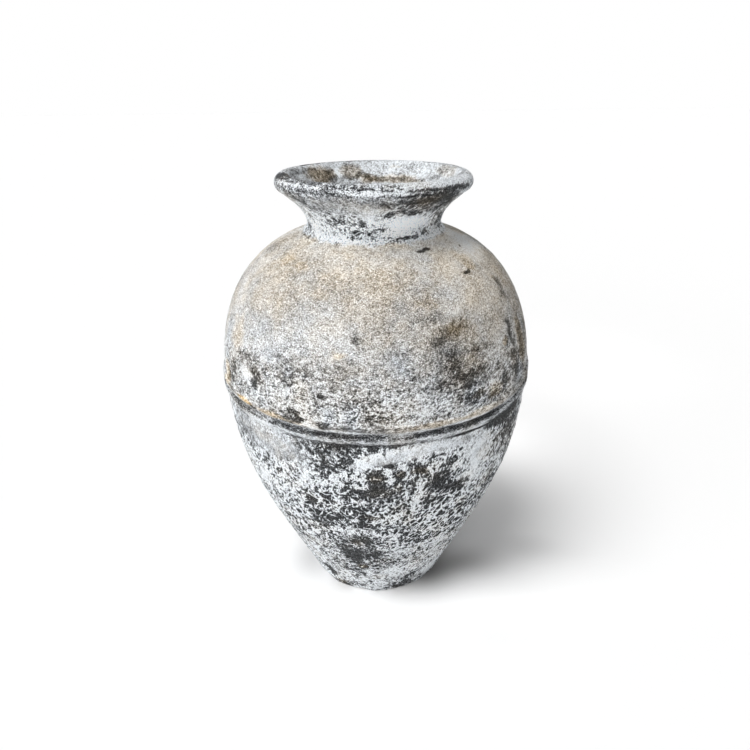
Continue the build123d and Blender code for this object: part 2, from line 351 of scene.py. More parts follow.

# %% [markdown]
# ## Crust of lime and soot
# The shoulder kept its warm beige skin. Below the cords the skin is lost: lime fills the pitted clay
# in white nets, and soot stays in the hollows. A painter would set such patches one by one with a brush,
# and so they are here: each patch that stands out is one dab, an ellipse with a ragged edge. It has the
# azimuth and height of its middle, half its width in degrees, half its height in millimetres, and how
# much lighter or darker it is. Azimuth 0 faces the camera, and plus is right. A few dabs are painted
# shade and painted light: dark ones in the creases under and between the cords and at the neck's foot on
# the right, and light ones on the right edge of the foot.

# %% Crust
crust_and_painted_shade_and_light = [
    # lip and flare
    (-4.5, 893, 4, 1.8, -0.42), (5, 891, 5, 2, -0.38), (13, 893.5, 2.5, 1.8, -0.40),
    (27, 889, 11, 2.6, -0.42), (48, 888, 10, 4, -0.42), (-30, 886, 14, 2.5, -0.14),
    (22, 881.5, 9, 1.6, -0.35), (6, 868, 3, 6, -0.18), (22, 869, 4, 5, -0.28), (31, 872, 5, 5, -0.22),
    (41, 878, 9, 8, -0.12), (33, 867, 25, 14, -0.25), (-52, 898, 26, 2.5, -0.20),
    (35, 884, 22, 4.5, -0.18), (65, 835, 16, 40, -0.15), (7, 886.5, 22, 3, 0.27),
    (-69, 899.5, 13, 3, -0.28), (-78, 896, 8, 6, -0.40), (-42, 895, 38, 8, -0.14),
    (-10, 896, 24, 5, -0.14), (-55, 885, 12, 6, -0.08), (50, 864, 7, 15, -0.30), (44, 896, 26, 5, 0.12),
    (-40, 850, 8, 9, -0.12), (60, 870, 6, 9, 0.18), (-49, 873, 9, 13, -0.15), (-61, 875, 5, 12, 0.08),
    (60, 885, 6, 4, -0.30), (-20, 885, 6, 4, -0.14),
    # neck
    (-21, 815, 7, 14, 0.24), (-40, 830, 6, 9, -0.16), (-10, 840, 6, 18, -0.10), (25, 849, 7, 5, -0.50),
    (60, 808, 6, 10, 0.40), (-60, 799, 17, 4.5, -0.18), (-9, 830, 6, 9, -0.31), (-58, 812, 8, 8, 0.55),
    (-70, 812, 6, 8, -0.44), (-20, 800, 6, 5, 0.28), (-14, 812.5, 10, 8, -0.50), (19, 813, 6, 6, 0.38),
    (42, 812, 8, 8, -0.22), (52, 812, 20, 10, -0.20), (66, 815, 14, 18, -0.33), (0, 830, 5, 9, 0.12),
    (40, 830, 6, 9, 0.12), (54, 832, 9, 12, -0.14), (-2, 812, 5.5, 6.5, -0.42), (-5, 822, 8, 10, -0.20),
    (40, 850, 10, 8, -0.20), (-25, 828, 14, 14, -0.18), (-28, 836, 6, 9, -0.15), (10, 848, 5, 4, -0.42),
    (16, 853, 4, 2.5, -0.30), (-4, 843, 7, 12, 0.12), (25, 829, 17, 13, 0.10), (4, 820, 5, 3, -0.40),
    # painted shadow: (20, 802), (28, 804) and (42, 807) on the next line are the dark line at the neck's
    # foot on the right
    (20, 802, 7, 3, -0.45), (28, 804, 10, 3.5, -0.75), (42, 807, 8, 3.5, -0.25),
    (48.4, 827.5, 1.4, 2.2, -0.60), (-65, 812, 2, 2, -0.50),
    # cords and just under them; the dark dabs from 506 to 530 mm are painted shade in and beside the
    # creases under and between the cords
    (-50, 524, 8, 9, -0.10), (-60, 533, 7, 5, 0.26), (-12, 506, 9, 3, -0.20), (-13, 525.5, 9, 3, -0.22),
    (-12, 534, 9, 4, 0.14), (2, 506.5, 8, 3, -0.14), (37, 507, 14, 3.5, -0.55), (32, 534, 9, 4, 0.16),
    (32, 513, 8, 3, 0.14), (18, 521, 8, 5, 0.10), (-28, 524, 8, 4, -0.12), (-43, 533, 8, 3, -0.14),
    (9, 542, 6, 4, -0.12), (2, 559, 7, 5, -0.12), (18, 504, 8, 4, 0.20), (32, 503, 8, 3, 0.18),
    (49, 515, 11, 4.5, -0.45), (52, 526, 12, 5, 0.45), (62, 520, 7, 5, 0.35), (2, 542, 26, 5, -0.06),
    (-19, 540, 5, 4, 0.18), (-29, 541, 5, 5, -0.14), (-60, 540, 6, 5, -0.10), (-6, 496, 8, 8, -0.20),
    (-8, 503, 14, 5, -0.20), (48, 500, 11, 14, -0.42), (46, 498, 6, 9, -0.35), (10, 529.5, 6, 4, 0.38),
    (45, 510, 9, 5, -0.15), (40, 529, 8, 5, -0.35), (-40, 510, 11, 6, 0.30), (18, 510, 8, 5, 0.12),
    (-18, 520, 6, 5, 0.08), (30, 526, 22, 5, -0.20), (-42, 529, 10, 7, 0.16), (57, 480, 8, 51, -0.34),
    (-12, 478, 7, 31, -0.25), (-18, 445, 4, 20, -0.28), (-19.4, 489, 4, 10, -0.12),
    (-9, 470, 3, 20, -0.20), (-4.7, 467, 4, 14, 0.16), (3, 486, 8, 12, 0.10), (9, 497, 5, 6, 0.16),
    (14, 483, 5, 12, 0.10), (20, 496, 5, 6, 0.18), (26, 485, 4, 14, 0.08), (36, 455, 5, 65, 0.12),
    (-5, 510, 8, 6, -0.15), (-40, 520, 6, 6, 0.15),
    # lower wall, right of the middle
    (60, 390, 7, 20, -0.18), (30, 390, 4, 18, -0.14), (10, 275, 6, 45, -0.08), (20, 420, 6, 25, 0.08),
    (50, 350, 6, 21, -0.36), (53, 430, 9, 25, -0.16), (50, 468, 6, 16, -0.14), (31, 350, 6, 17, 0.30),
    (40, 410, 6, 40, 0.12), (30, 468, 6, 18, 0.14), (10, 430, 5, 18, -0.10), (18, 405, 9, 45, -0.22),
    (20, 305, 5, 20, 0.20), (3.5, 466, 2.4, 7, -0.35), (7.4, 444, 2.2, 10, -0.42),
    (12, 463, 2, 7, -0.20), (14, 449, 3, 12, -0.40), (9, 455, 2, 8, 0.15), (24.5, 454, 3, 12, -0.35),
    (23, 412.5, 4, 20, -0.40), (28.4, 386, 4, 15, -0.50), (20, 405, 3, 17, -0.28),
    (17, 371, 2, 14, -0.42), (14.2, 402, 1.2, 24, 0.40), (16, 385, 1, 24, 0.45),
    (13, 358, 1.5, 20, 0.35), (34, 422, 3, 27, 0.15), (38, 389, 3, 20, 0.12),
    (17.2, 264, 2.2, 10, -0.40), (23.5, 296, 2, 10, -0.38), (37, 220, 3, 14, -0.30),
    (20, 230.5, 3.2, 8, -0.40), (36, 310, 1.6, 10, -0.50), (49, 290, 5, 60, -0.20),
    (7, 414, 2, 24, -0.20), (10, 305, 5, 22, -0.14),
    # lower wall, middle and left
    (-10, 305, 5, 22, -0.16), (-20, 305, 6, 22, -0.25), (-54, 480, 9, 26, -0.08),
    (-45, 468, 20, 44, 0.015), (30, 305, 5, 20, 0.16), (-20, 430, 6, 18, 0.16), (-10, 468, 5, 15, 0.25),
    (-10, 390, 6, 18, 0.08), (-51, 385, 11, 40, 0.25), (-50, 352, 7, 20, 0.25), (0, 400, 14, 45, -0.11),
    (-2, 452, 3.5, 8, -0.25), (-0.4, 435, 3.5, 14, -0.30), (0, 411, 3.5, 17, -0.40),
    (-6, 398, 4, 15, -0.38), (-11.2, 386, 1.8, 12, -0.50), (-16.2, 383, 1.8, 12, -0.50),
    (-24.6, 360, 2.4, 14, -0.50), (-28.6, 376.6, 1.6, 8, -0.35), (-26, 327, 2.2, 15, -0.25),
    (-13.7, 364, 5, 7, 0.20), (-10, 357, 3.5, 7, -0.30), (-5.5, 353, 4, 12, -0.25),
    (-3, 331, 5, 12, -0.40), (-6, 309, 3.5, 10, -0.38), (-17.2, 330, 4, 17, -0.35),
    (-12.6, 326, 3, 14, -0.25), (-8, 323, 1.5, 7, 0.35), (-25, 413, 5, 20, 0.12),
    (-35, 360, 7, 60, 0.14),
    # foot; (40, 57) and (41, 92) on the next line are painted light on its right edge, which the lamps
    # leave in shade
    (-38, 55, 8, 24, -0.60), (-10, 130, 5, 50, -0.14), (40, 57, 7, 27, 0.95), (41, 92, 6, 45, 0.24),
    (-27, 12, 9, 14, -0.30), (-20, 105, 6, 22, -0.12), (21, 52, 6, 20, -0.32), (-10, 55, 5, 22, 0.12),
    (18, 105, 13, 25, 0.42), (30, 155, 6, 22, 0.14), (-42, 205, 6, 21, -0.24), (-10, 205, 5, 20, 0.12),
    (-10, 255, 14, 21, -0.22), (30, 205, 6.5, 22, 0.35), (0, 12, 6, 14, 0.10), (13, 12, 10, 14, -0.21),
    (31, 12, 6, 14, -0.30), (-18, 14, 6, 14, 0.20), (-39, 122, 8, 58, 0.18), (20, 248, 6, 25, -0.16),
    (-6, 170, 12, 45, -0.22), (1, 155, 5, 22, -0.16), (-11, 105, 5, 20, -0.20), (10, 205, 5, 20, 0.20),
    (-16, 58, 8, 20, 0.12), (-8, 215, 11, 42, -0.20), (-13, 182, 5, 46, -0.24), (-9, 132, 3, 17, -0.30),
    (-17, 213, 5, 30, -0.16), (-6, 250, 5, 17, -0.20), (0, 185, 4, 27, -0.20), (6, 124, 5, 17, 0.16),
    (11, 102, 6, 20, 0.18), (20, 150, 5, 27, 0.14), (-21, 61, 7, 24, 0.20), (-5, 20, 5, 20, 0.25),
    (30, 48, 6, 20, 0.22), (20, 20, 8, 20, -0.35),
]
print(len(crust_and_painted_shade_and_light), "dabs of crust")

# %% [markdown]
# ## Stains and bare clay on the shoulder
# On the shoulder soot has only left stains on the skin, so those dabs fade out softly instead of ending at
# an edge. Two of them are painted light on the shoulder's right top, and a broad one is painted shade on
# its right flank. Where the skin has rubbed off, the clay shows warm. Some stretches kept a smooth skin
# without speckle, on others the lime stands in a net, and a few dark slits are cracks.

# %% Stains and bare clay
stains_and_painted_shade_and_light = [
    # shoulder, right of the middle
    (62, 779, 1.2, 2, -0.80), (51, 766, 5, 12, -0.10), (19, 727, 4, 7, -0.10), (20, 706, 6, 8, -0.12),
    (30, 690, 4, 9, -0.20), (25, 686, 4, 8, -0.16), (28.5, 711, 4, 5, 0.08), (21, 674, 3.5, 6, -0.20),
    (24.5, 650, 2.5, 9, -0.28), (26, 631, 3, 12, -0.36), (31, 613, 5, 7, -0.34),
    (29, 593.5, 3.5, 3, -0.45), (24.4, 594.4, 3.5, 2, -0.28), (33.5, 572, 3, 8, -0.40),
    (32.6, 559.5, 2, 4, -0.50), (29.5, 576, 4.5, 9, -0.32), (34, 648, 3, 8, -0.12),
    (39, 649, 2, 5, -0.20), (39, 617, 2.5, 6, -0.12), (54.6, 656, 1.5, 18, -0.42),
    (56, 630, 1.6, 24, -0.24), (51.5, 638, 1.5, 10, -0.32), (54.2, 612, 1.6, 8, -0.40),
    (47.6, 575, 2.2, 13, -0.42), (55.8, 579.5, 2.2, 13, -0.42), (63.4, 620, 3, 40, -0.25),
    (62, 724, 1.8, 10, -0.20), (60, 706, 1.6, 8, -0.18), (42, 568, 3, 14, -0.15),
    (19.8, 562.6, 1.8, 3, -0.35), (18.7, 552.8, 2.6, 3, -0.40), (10.4, 559.4, 1.8, 4, -0.30),
    # painted shade: (62, 600) on the next line darkens the shoulder's right flank
    (12, 625, 1.8, 4, -0.20), (46, 556, 7, 8, -0.18), (62, 600, 24, 90, -0.10), (28, 612, 9, 58, -0.08),
    # painted light: (67, 779) and (77, 782) on the next line lighten the shoulder's right top
    (12, 568, 6, 22, 0.15), (31, 606, 6, 14, -0.18), (67, 779, 15, 20, 0.22), (77, 782, 11, 14, 0.36),
    (20, 606, 5, 12, -0.20), (24, 650, 9, 30, -0.07), (45, 745, 25, 45, 0.05), (70, 632, 6, 18, -0.10),
    (56, 640, 8, 25, 0.12), (70, 578, 5, 12, 0.10),
    # shoulder, left of the middle
    (2, 577, 19, 13, -0.12), (-55, 556, 9, 11, -0.16), (-68, 705, 9, 40, 0.05), (-80, 778, 8, 18, -0.12),
    (-60, 755, 22, 16, 0.05), (-30, 550, 5, 12, -0.08), (0, 550, 6, 14, -0.10), (-61, 567, 5, 21, -0.22),
    (-45, 612, 9, 20, -0.14), (-15, 680, 12, 35, 0.07), (-51, 624, 4, 5, -0.25),
    (-57.4, 588, 2.2, 14, -0.28), (-48.5, 595, 3, 16, 0.24), (-43.6, 603, 2.2, 6, -0.42),
    (-43.4, 584, 1.8, 8, -0.55), (-44.6, 563, 4, 7, 0.12), (-43.4, 537, 1.4, 2.5, -0.50),
    (-35.3, 565, 4, 7, 0.12), (-28.6, 618, 2.6, 9, -0.24), (-29.3, 608, 2.4, 5, -0.22),
    (-27, 601, 1.8, 4, -0.35), (-24.7, 600, 1, 2, -0.35), (-23.5, 626, 1.3, 3, -0.20),
    (-16.2, 639, 1, 3, -0.25), (-17, 592.4, 1.6, 3.5, -0.45), (-26.6, 555, 2.2, 6, -0.55),
    (-25, 546, 2.8, 3.5, -0.55), (-16.2, 541, 2, 4.5, -0.50), (-6, 556, 3, 5, -0.26),
    (-31, 585, 3, 8, 0.10), (-6.4, 681, 1.8, 5, -0.20), (5, 547, 4.5, 5, 0.20),
    (-59.6, 561, 3, 6, -0.20), (-29, 634, 5, 14, -0.15),
]
warm_clay = [
    (52, 680, 26, 110, 0.25), (28, 620, 8, 30, 0.4), (-48.7, 541, 5, 4, 3.0), (-35, 540, 6, 5, 1.4),
    (-27, 539, 4, 3, 0.8), (20, 541, 10, 5, 1.0), (36, 541, 8, 6, 1.0), (51, 766, 5, 12, 0.6),
    (30, 690, 5, 10, 0.4), (25, 686, 5, 10, 0.4), (19, 727, 5, 8, 0.4), (50, 641, 2, 6, 1.0),
    (63.4, 620, 4, 45, 1.2), (42, 570, 4, 16, 1.0), (-65, 558, 4, 25, 1.4), (-58, 650, 5, 30, 0.6),
    (-38, 767, 5, 6, 0.6), (-51, 771, 4, 6, 0.5), (-22, 737, 4, 8, 0.5), (-11.6, 660, 3, 5, 0.8),
    (33.5, 572, 3, 8, 0.5), (14, 446, 3, 9, 0.7), (7.4, 444, 2, 6, 0.7), (-0.4, 435, 3, 8, 0.6),
    (7, 414, 2, 12, 0.6), (-3, 331, 5, 7, 0.4), (-9, 132, 3, 10, 1.2), (-30, 16, 5, 10, 0.8),
    (31, 872, 8, 8, 0.5), (-47, 878, 8, 8, 0.4),
]
smooth_skin = [
    (-47, 474, 24, 42, 0.80), (-31, 470, 11, 28, 0.5), (-4, 468, 6, 10, 0.8), (3, 477, 6, 9, 0.9),
    (10, 486, 7, 9, 0.9), (18, 492, 7, 9, 0.9), (27, 492, 6, 12, 0.8), (36, 455, 5, 45, 0.8),
    (-4, 843, 7, 12, 0.7), (25, 829, 17, 13, 0.8), (-48.5, 595, 3, 16, 0.7), (2, 410, 5, 30, 0.25),
    (-8, 190, 10, 30, 0.2),
]
netted = [
    (28, 290, 18, 85, 0.9), (-38, 300, 18, 80, 0.4), (22, 400, 10, 40, 0.5), (-14, 355, 14, 45, 0.5),
    (-16, 818, 16, 13, 0.5),
]
slits = [
    (33.8, 788.5, 2.6, 1.5, -0.90), (29, 787, 3, 1.3, -0.45), (46, 753.6, 2.4, 1.4, -0.90),
    (48, 755, 1, 1.3, -0.50),
]
print(
    len(stains_and_painted_shade_and_light), "stains,", len(warm_clay), "of bare clay,", len(smooth_skin), "of smooth skin,",
    len(netted), "nets,", len(slits), "slits",
)

# %% [markdown]
# ## Sides, far side and foot
# The jar is seen from one side only. The far side gets the front's dabs in mirror image, drawn together
# a little and on other grain, which hides the likeness. At the two sides, where front and mirror image
# meet, the lower wall has patches of its own. Chips at the foot are dabs too, but of relief: their
# amount is in millimetres.

# %% Sides, far side and foot
side_patches = [
    (92, 430, 9, 40, -0.25), (84, 380, 5, 25, -0.30), (103, 330, 8, 35, -0.25), (88, 260, 7, 30, -0.25),
    (98, 190, 9, 35, -0.20), (83, 150, 8, 25, 0.15), (94, 90, 9, 30, -0.15), (112, 440, 6, 30, 0.15),
    (118, 390, 7, 30, -0.25), (114, 240, 8, 40, -0.20), (108, 120, 8, 20, 0.15),
    (106, 478, 8, 14, -0.20), (-92, 450, 10, 30, -0.20), (-100, 360, 8, 40, -0.25),
    (-84, 330, 6, 28, -0.25), (-93, 260, 9, 26, 0.15), (-88, 190, 9, 30, -0.20),
    (-101, 120, 8, 30, -0.15), (-86, 90, 7, 22, 0.15), (-114, 410, 7, 30, -0.25),
    (-112, 290, 8, 35, -0.20), (-117, 180, 8, 25, 0.15), (-107, 482, 7, 12, -0.20),
]
foot_chips = [(-44, 48, 12, 20, -3.5), (-36, 12, 7, 10, 1.5), (30, 8, 6, 9, -2.0), (-12, 6, 4, 8, -2.0)]
far_side_squeeze = 1.35


def dabbed(dabs, azimuth, height, sharpness=3):
    """Sum of dabs, each its amount times exp(-d^(2 sharpness)), where d is 1 on its ellipse's edge."""
    total = np.zeros_like(azimuth)
    for middle, level, wide, tall, amount in dabs:
        aside = (azimuth - middle + 180) % 360 - 180
        apart = (aside / wide) ** 2 + ((height / mm - level) / tall) ** 2
        total += amount * np.exp(-apart ** sharpness)
    return total


def facing(azimuth):
    """Azimuth in degrees, but the far half reads the front's dabs, mirrored and narrower."""
    turned = (azimuth + 180) % 360 - 180
    mirrored = far_side_squeeze * (np.sign(turned) * 180 - turned)
    return np.where(np.abs(turned) <= 90, turned, mirrored)


print(len(side_patches), "patches at the sides,", len(foot_chips), "chips at the foot")

# %% [markdown]
# ## Dabs in the mouth
# Inside the flare the lime is thicker, and brown stains run down from the lip. They are dabs again, set
# by their azimuth all the way round, because the far inside of the mouth faces the camera. Dark dabs and
# warm ones share their places: damp stains a white wall brown.

# %% Dabs in the mouth
mouth_light_and_dark = [
    (240, 885, 30, 20, 0.05), (291, 899, 13, 6, -0.50), (255, 890, 14, 14, -0.16),
    (229, 880, 14, 16, -0.30), (217, 872, 6, 8, -0.30), (219, 885, 4, 4, -0.35), (211, 882, 3, 12, 0.25),
    (199, 883, 9, 13, -0.32), (202, 872, 7, 6, -0.32), (189, 874, 7, 6, -0.36), (182, 871, 7, 6, -0.28),
    (185, 864, 5, 4, -0.30), (166, 867, 15, 5.5, -0.36), (148, 868, 9, 5, -0.30),
    (135, 869, 5, 3.5, -0.22), (108, 892, 14, 8, -0.12), (-25, 899, 35, 4, -0.25),
]
mouth_warm = [
    (291, 899, 14, 6, 0.8), (229, 880, 14, 16, 1.4), (200, 881, 10, 13, 0.9), (186, 868, 10, 9, 1.0),
    (158, 867, 26, 8, 1.0), (164, 888, 5, 3, 0.5), (108, 890, 16, 10, 0.5),
]
print(len(mouth_light_and_dark), "dabs of tone and", len(mouth_warm), "of warmth in the mouth")

# %% [markdown]
# ## Zones by height
# Seen from afar, the jar's finish changes with height: a worn foot, a limed lower wall, the cords, a warm
# shoulder, a white neck and a stained lip. A row of stops for each property is enough for that, with
# straight runs between them; a painted picture would show the same, but couldn't be read or changed.
# Tone is how light a place is, contrast how strongly it is speckled, coarse how large the speckle is,
# pitted how far it is eaten into pits, warmth how brown. Lift, in metres, pushes the pattern up, which
# stretches it; the neck's painted light is a factor that brightens the white neck past its colour, to make
# up for the shade under the flare. Ragged is how far edges are frayed, and rings, rough and eaten scale
# the relief.

# %% Zones by height
curves = {
    "tone": [
        (0, 0.48), (30, 0.56), (60, 0.61), (120, 0.59), (300, 0.56), (430, 0.56), (480, 0.63), (504, 0.64),
        # painted shade: the dips at 508 to 511 and 522 to 530 mm darken the creases under and between the
        # cords
        (508, 0.46), (511, 0.46), (514, 0.66), (519, 0.66), (522, 0.44), (530, 0.40), (533, 0.60),
        (545, 0.63), (550, 0.645), (560, 0.645), (600, 0.615), (660, 0.612), (720, 0.607), (755, 0.602),
        (780, 0.65), (796, 0.68), (799, 0.88), (815, 0.92), (825, 0.82), (838, 0.72), (850, 0.66),
        (872, 0.58), (882, 0.56), (887, 0.58), (890, 0.70), (893, 0.75), (900, 0.74),
    ],
    "contrast": [
        (0, 1.45), (480, 1.3), (500, 0.9), (510, 1.0), (518, 0.5), (522, 1.2), (530, 1.2), (535, 0.4),
        (546, 0.6), (552, 0.88), (600, 0.68), (650, 0.54), (700, 0.45), (795, 0.42), (800, 1.2),
        (815, 1.35), (840, 0.9), (860, 0.55), (880, 0.52), (888, 1.0), (900, 0.85),
    ],
    "warmth": [
        (0, -0.05), (505, 0.0), (532, 0.1), (538, 0.5), (546, 0.4), (560, 0.25), (610, 0.40), (660, 0.45),
        (720, 0.8), (770, 1.15), (796, 1.15), (799, 0.0), (850, 0.0), (865, 0.2), (878, 0.15),
        (886, 0.0), (900, 0.0),
    ],
    "coarse": [
        (0, 1), (480, 0.9), (515, 0.5), (560, 0.5), (600, 0.45), (650, 0.28), (720, 0.18), (795, 0.16),
        (800, 0.7), (835, 0.6), (850, 0.45), (875, 0.4), (900, 0.5),
    ],
    "pitted": [
        (0, 0.2), (60, 0.35), (200, 0.5), (300, 0.5), (400, 0.45), (470, 0.2), (505, 0.0), (548, 0.1),
        (570, 0.2), (600, 0.15), (640, 0.0), (800, 0.1), (830, 0.2), (860, 0.0), (900, 0.0),
    ],
    "lift": [(0, -0.147), (220, -0.087), (505, -0.167), (545, -0.09), (800, 0), (900, 0.02)],
    # painted light: the neck's colour is raised past white, to make up for the shade under the flare
    "neck_painted_light": [(790, 1), (798, 1.22), (835, 1.22), (850, 1.1), (870, 1)],
    "ragged": [
        (480, 1), (505, 0.25), (548, 0.25), (565, 1), (785, 1), (796, 0.5), (860, 0.8), (876, 0.3),
    ],
    "rings": [(0, 0.5), (480, 0.3), (520, 0.1), (800, 0.15), (900, 0.1)],
    "rough": [(0, 0.9), (480, 0.8), (545, 0.4), (600, 0.2), (800, 0.2), (830, 0.4), (870, 0.15)],
    "eaten": [
        (0, 1), (480, 1), (505, 0.3), (548, 0.3), (600, 0.5), (640, 0.2), (800, 0.2), (830, 0.5),
    ],
    "mouth_tone": [
        (28, 0.40), (780, 0.42), (830, 0.56), (860, 0.63), (875, 0.64), (896, 0.64), (900, 0.64),
    ],
}


def by_height(name, height):
    """Value of a named curve: straight runs between its stops of (height in millimetres, value)."""
    levels, values = zip(*curves[name])
    return np.interp(height / mm, levels, values)


print(len(curves), "curves by height, tone at the belly", float(by_height("tone", 518 * mm)))

# %% [markdown]
# ## Weather on the outside
# Close up, no edge on the old clay is straight. So the zones and dabs are read at places that clouds push
# about, which frays their edges, and clouds of other sizes mottle them. Cells eat pits into the lower
# wall, and the maker's hand and wheel leave swellings and faint rings. One function gives both the
# finish, as values for the material, and the relief, so that a dark flake is a hollow as well.

# %% Weather on the outside
pit_size = 15 * mm
pit_flatness = 1.6
slant_reach = 0.09
wheel_ring = 3.1 * mm
stain_sharpness = 1.3


def veins(points, lift):
    """Thin lines between flat, swaying cells: 1 halfway between two cell points, 0 inside a cell."""
    raised = points.copy()
    raised[..., 2] += lift
    sway = np.stack([layered(raised, size=16 * mm, layers=2, seed=seed) for seed in (41, 42, 43)], axis=-1)
    nearest, second = cells((raised + 6 * mm * sway) * (1, 1, pit_flatness) / pit_size, 81)
    return np.clip(1 - 3 * (second - nearest), 0, 1)


def weather(points, azimuth):
    """Finish and relief of outside points: curves by height, plus ragged dabs, pits and clouds."""
    height = points[..., 2]
    radius = np.hypot(points[..., 0], points[..., 1])
    held = by_height("ragged", height)
    jitter = np.degrees(4 * mm * layered(points, size=12 * mm, layers=4, seed=11) / radius)
    ragged_azimuth = facing(azimuth) + jitter
    ragged_height = height + 3.5 * mm * held * layered(points, size=12 * mm, layers=4, seed=12)
    zone = height + 4 * mm * held * layered(points, size=13 * mm, layers=3, seed=15)
    tone, contrast, warmth, coarse, pitted = [
        by_height(name, zone) for name in ("tone", "contrast", "warmth", "coarse", "pitted")]
    veined = np.clip(dabbed(netted, ragged_azimuth, ragged_height), 0, 1)
    pitted = pitted + 1.2 * veined
    calm = np.clip(dabbed(smooth_skin, ragged_azimuth, ragged_height, stain_sharpness), 0, 0.92)
    patches = dabbed(crust_and_painted_shade_and_light, ragged_azimuth, ragged_height)
    patches = patches + 0.87 * dabbed(stains_and_painted_shade_and_light, ragged_azimuth, ragged_height, stain_sharpness)
    patches = patches + dabbed(slits, azimuth, height)
    patches = patches + dabbed(side_patches, azimuth + jitter, ragged_height)
    soot_and_painted_shade = np.clip(-patches, 0, 0.5)
    tone = tone + patches
    warmth = warmth + dabbed(warm_clay, ragged_azimuth, ragged_height)
    worn = contrast * (1 - 0.93 * calm) * (1 - 0.4 * veined) + 1.2 * soot_and_painted_shade * (1 - contrast)
    coarse = (coarse + 1.2 * soot_and_painted_shade * (1 - contrast)) * (1 - 0.5 * calm)
    tone = tone + worn * 0.07 * layered(points, size=70 * mm, layers=3, seed=21)
    warmth = np.maximum(warmth + 0.4 * layered(points, size=40 * mm, layers=4, seed=61), -0.05)
    slant = slant_reach * (soft_step(azimuth, 0, 60) - soft_step(azimuth, 80, 170))
    lift = by_height("lift", height) - slant
    pitted = pitted * (1 - calm)
    pits = pitted * (0.75 * veins(points, lift) - 0.35)
    tone = tone + 0.2 * pits
    hand = 0.9 * layered(points, size=170 * mm, layers=2, seed=51)
    turning = 3 * clouds(points / (120 * mm), seed=55)
    rings = by_height("rings", height) * np.sin(height / wheel_ring + turning)
    rough = by_height("rough", height) * layered(points, size=16 * mm, layers=2, seed=31)
    chips = dabbed(foot_chips, ragged_azimuth, ragged_height)
    flakes = 1.6 * by_height("eaten", height) * np.clip(patches, -0.5, 0.3)
    relief = hand + rings + rough + (chips + flakes + 1.5 * pits)
    finish = {
        "tone": tone, "contrast": worn, "coarse": coarse, "pitted": pitted, "warmth": warmth,
        "lift": lift, "neck_painted_light": by_height("neck_painted_light", height),
    }
    return finish, relief * mm


print("outside weather ready, pits about", round(pit_size / mm), "mm wide")

# %% [markdown]
# ## Weather in the mouth
# Rain wets the inside of the flare and leaves lime there, and below the throat only dust gathers in the
# dark. The inside is smoother than the outside, so it has broad clouds and its own dabs, and only the
# gentle unevenness of the hand for relief. The same properties come out, so one material serves both.

# %% Weather in the mouth
def mouth_weather(points, azimuth):
    """Finish and relief inside the jar: a limed mouth with its own dabs, dark dusty clay below."""
    height = points[..., 2]
    ragged_azimuth = azimuth + 2.5 * layered(points, size=14 * mm, layers=3, seed=13)
    ragged_height = height + 2.5 * mm * layered(points, size=14 * mm, layers=3, seed=14)
    tone = by_height("mouth_tone", height)
    tone = tone + 0.52 * dabbed(mouth_light_and_dark, ragged_azimuth, ragged_height)
    tone = tone + 0.08 * layered(points, size=40 * mm, layers=3, seed=71)
    same = np.ones_like(height)
    warmth = 0.05 + dabbed(mouth_warm, ragged_azimuth, ragged_height)
    finish = {
        "tone": tone, "contrast": 0.40 * same, "coarse": 0.55 * same, "pitted": 0 * same,
        "warmth": warmth, "lift": 0 * same, "neck_painted_light": same,
    }
    return finish, 0.6 * mm * layered(points, size=90 * mm, layers=2, seed=52)


print("mouth weather ready, tone at the lip", float(by_height("mouth_tone", 896 * mm)))

# %% [markdown]
# ## Node helpers for the clay
# The clay's surface is mixed from noise, cells and colours, so a few more helpers are wanted. Each makes
# one kind of node and links it. Sizes are given in metres, because the patterns lie on the jar's own
# coordinates and so keep their true size on every piece.

# %% Node helpers for the clay
def paint(red, green, blue):
    """Linear colour from three screen values of 0 to 255, by the standard screen curve."""
    share = np.array([red, green, blue]) / 255
    linear = np.where(share <= 0.04045, share / 12.92, ((share + 0.055) / 1.055) ** 2.4)
    return (*linear.tolist(), 1.0)


def new_group(name, inputs, outputs):
    """Shader group with float inputs given as {name: default} and outputs given as {name: socket type}."""
    group = bpy.data.node_groups.new(name, "ShaderNodeTree")
    for label, value in inputs.items():
        socket = group.interface.new_socket(label, in_out="INPUT", socket_type="NodeSocketFloat")
        socket.default_value = value
    for label, kind in outputs.items():
        group.interface.new_socket(label, in_out="OUTPUT", socket_type=kind)
    return group, group.nodes.new("NodeGroupInput"), group.nodes.new("NodeGroupOutput")


def noise_node(group, vector, size, detail, roughness):
    """Noise about zero on a coordinate socket, with features of about the given size in metres."""
    node = group.nodes.new("ShaderNodeTexNoise")
    node.inputs["Scale"].default_value = 1 / size
    node.inputs["Detail"].default_value = detail
    node.inputs["Roughness"].default_value = roughness
    group.links.new(vector, node.inputs["Vector"])
    return math_node(group, "SUBTRACT", node.outputs["Fac"], 0.5)


def mix_colour(group, blend, share, first, second):
    """Colour mix node; each of share, first and second is a socket or a plain value."""
    node = group.nodes.new("ShaderNodeMix")
    node.data_type = "RGBA"
    node.blend_type = blend
    node.clamp_factor = False
    for slot, value in ((0, share), (6, first), (7, second)):
        if isinstance(value, bpy.types.NodeSocket):
            group.links.new(value, node.inputs[slot])
        else:
            node.inputs[slot].default_value = value
    return node.outputs[2]


def cell_node(group, vector, size, feature):
    """Scattered cells of about the given size in metres: distance from their middles (F1) or edges."""
    node = group.nodes.new("ShaderNodeTexVoronoi")
    node.feature = feature
    node.inputs["Scale"].default_value = 1 / size
    group.links.new(vector, node.inputs["Vector"])
    return node.outputs["Distance"]


def weighted(group, *terms):
    """Sum of pairs of a value and a weight, each a socket or a number."""
    total = math_node(group, "MULTIPLY", *terms[0])
    for value, weight in terms[1:]:
        total = math_node(group, "ADD", total, math_node(group, "MULTIPLY", value, weight))
    return total


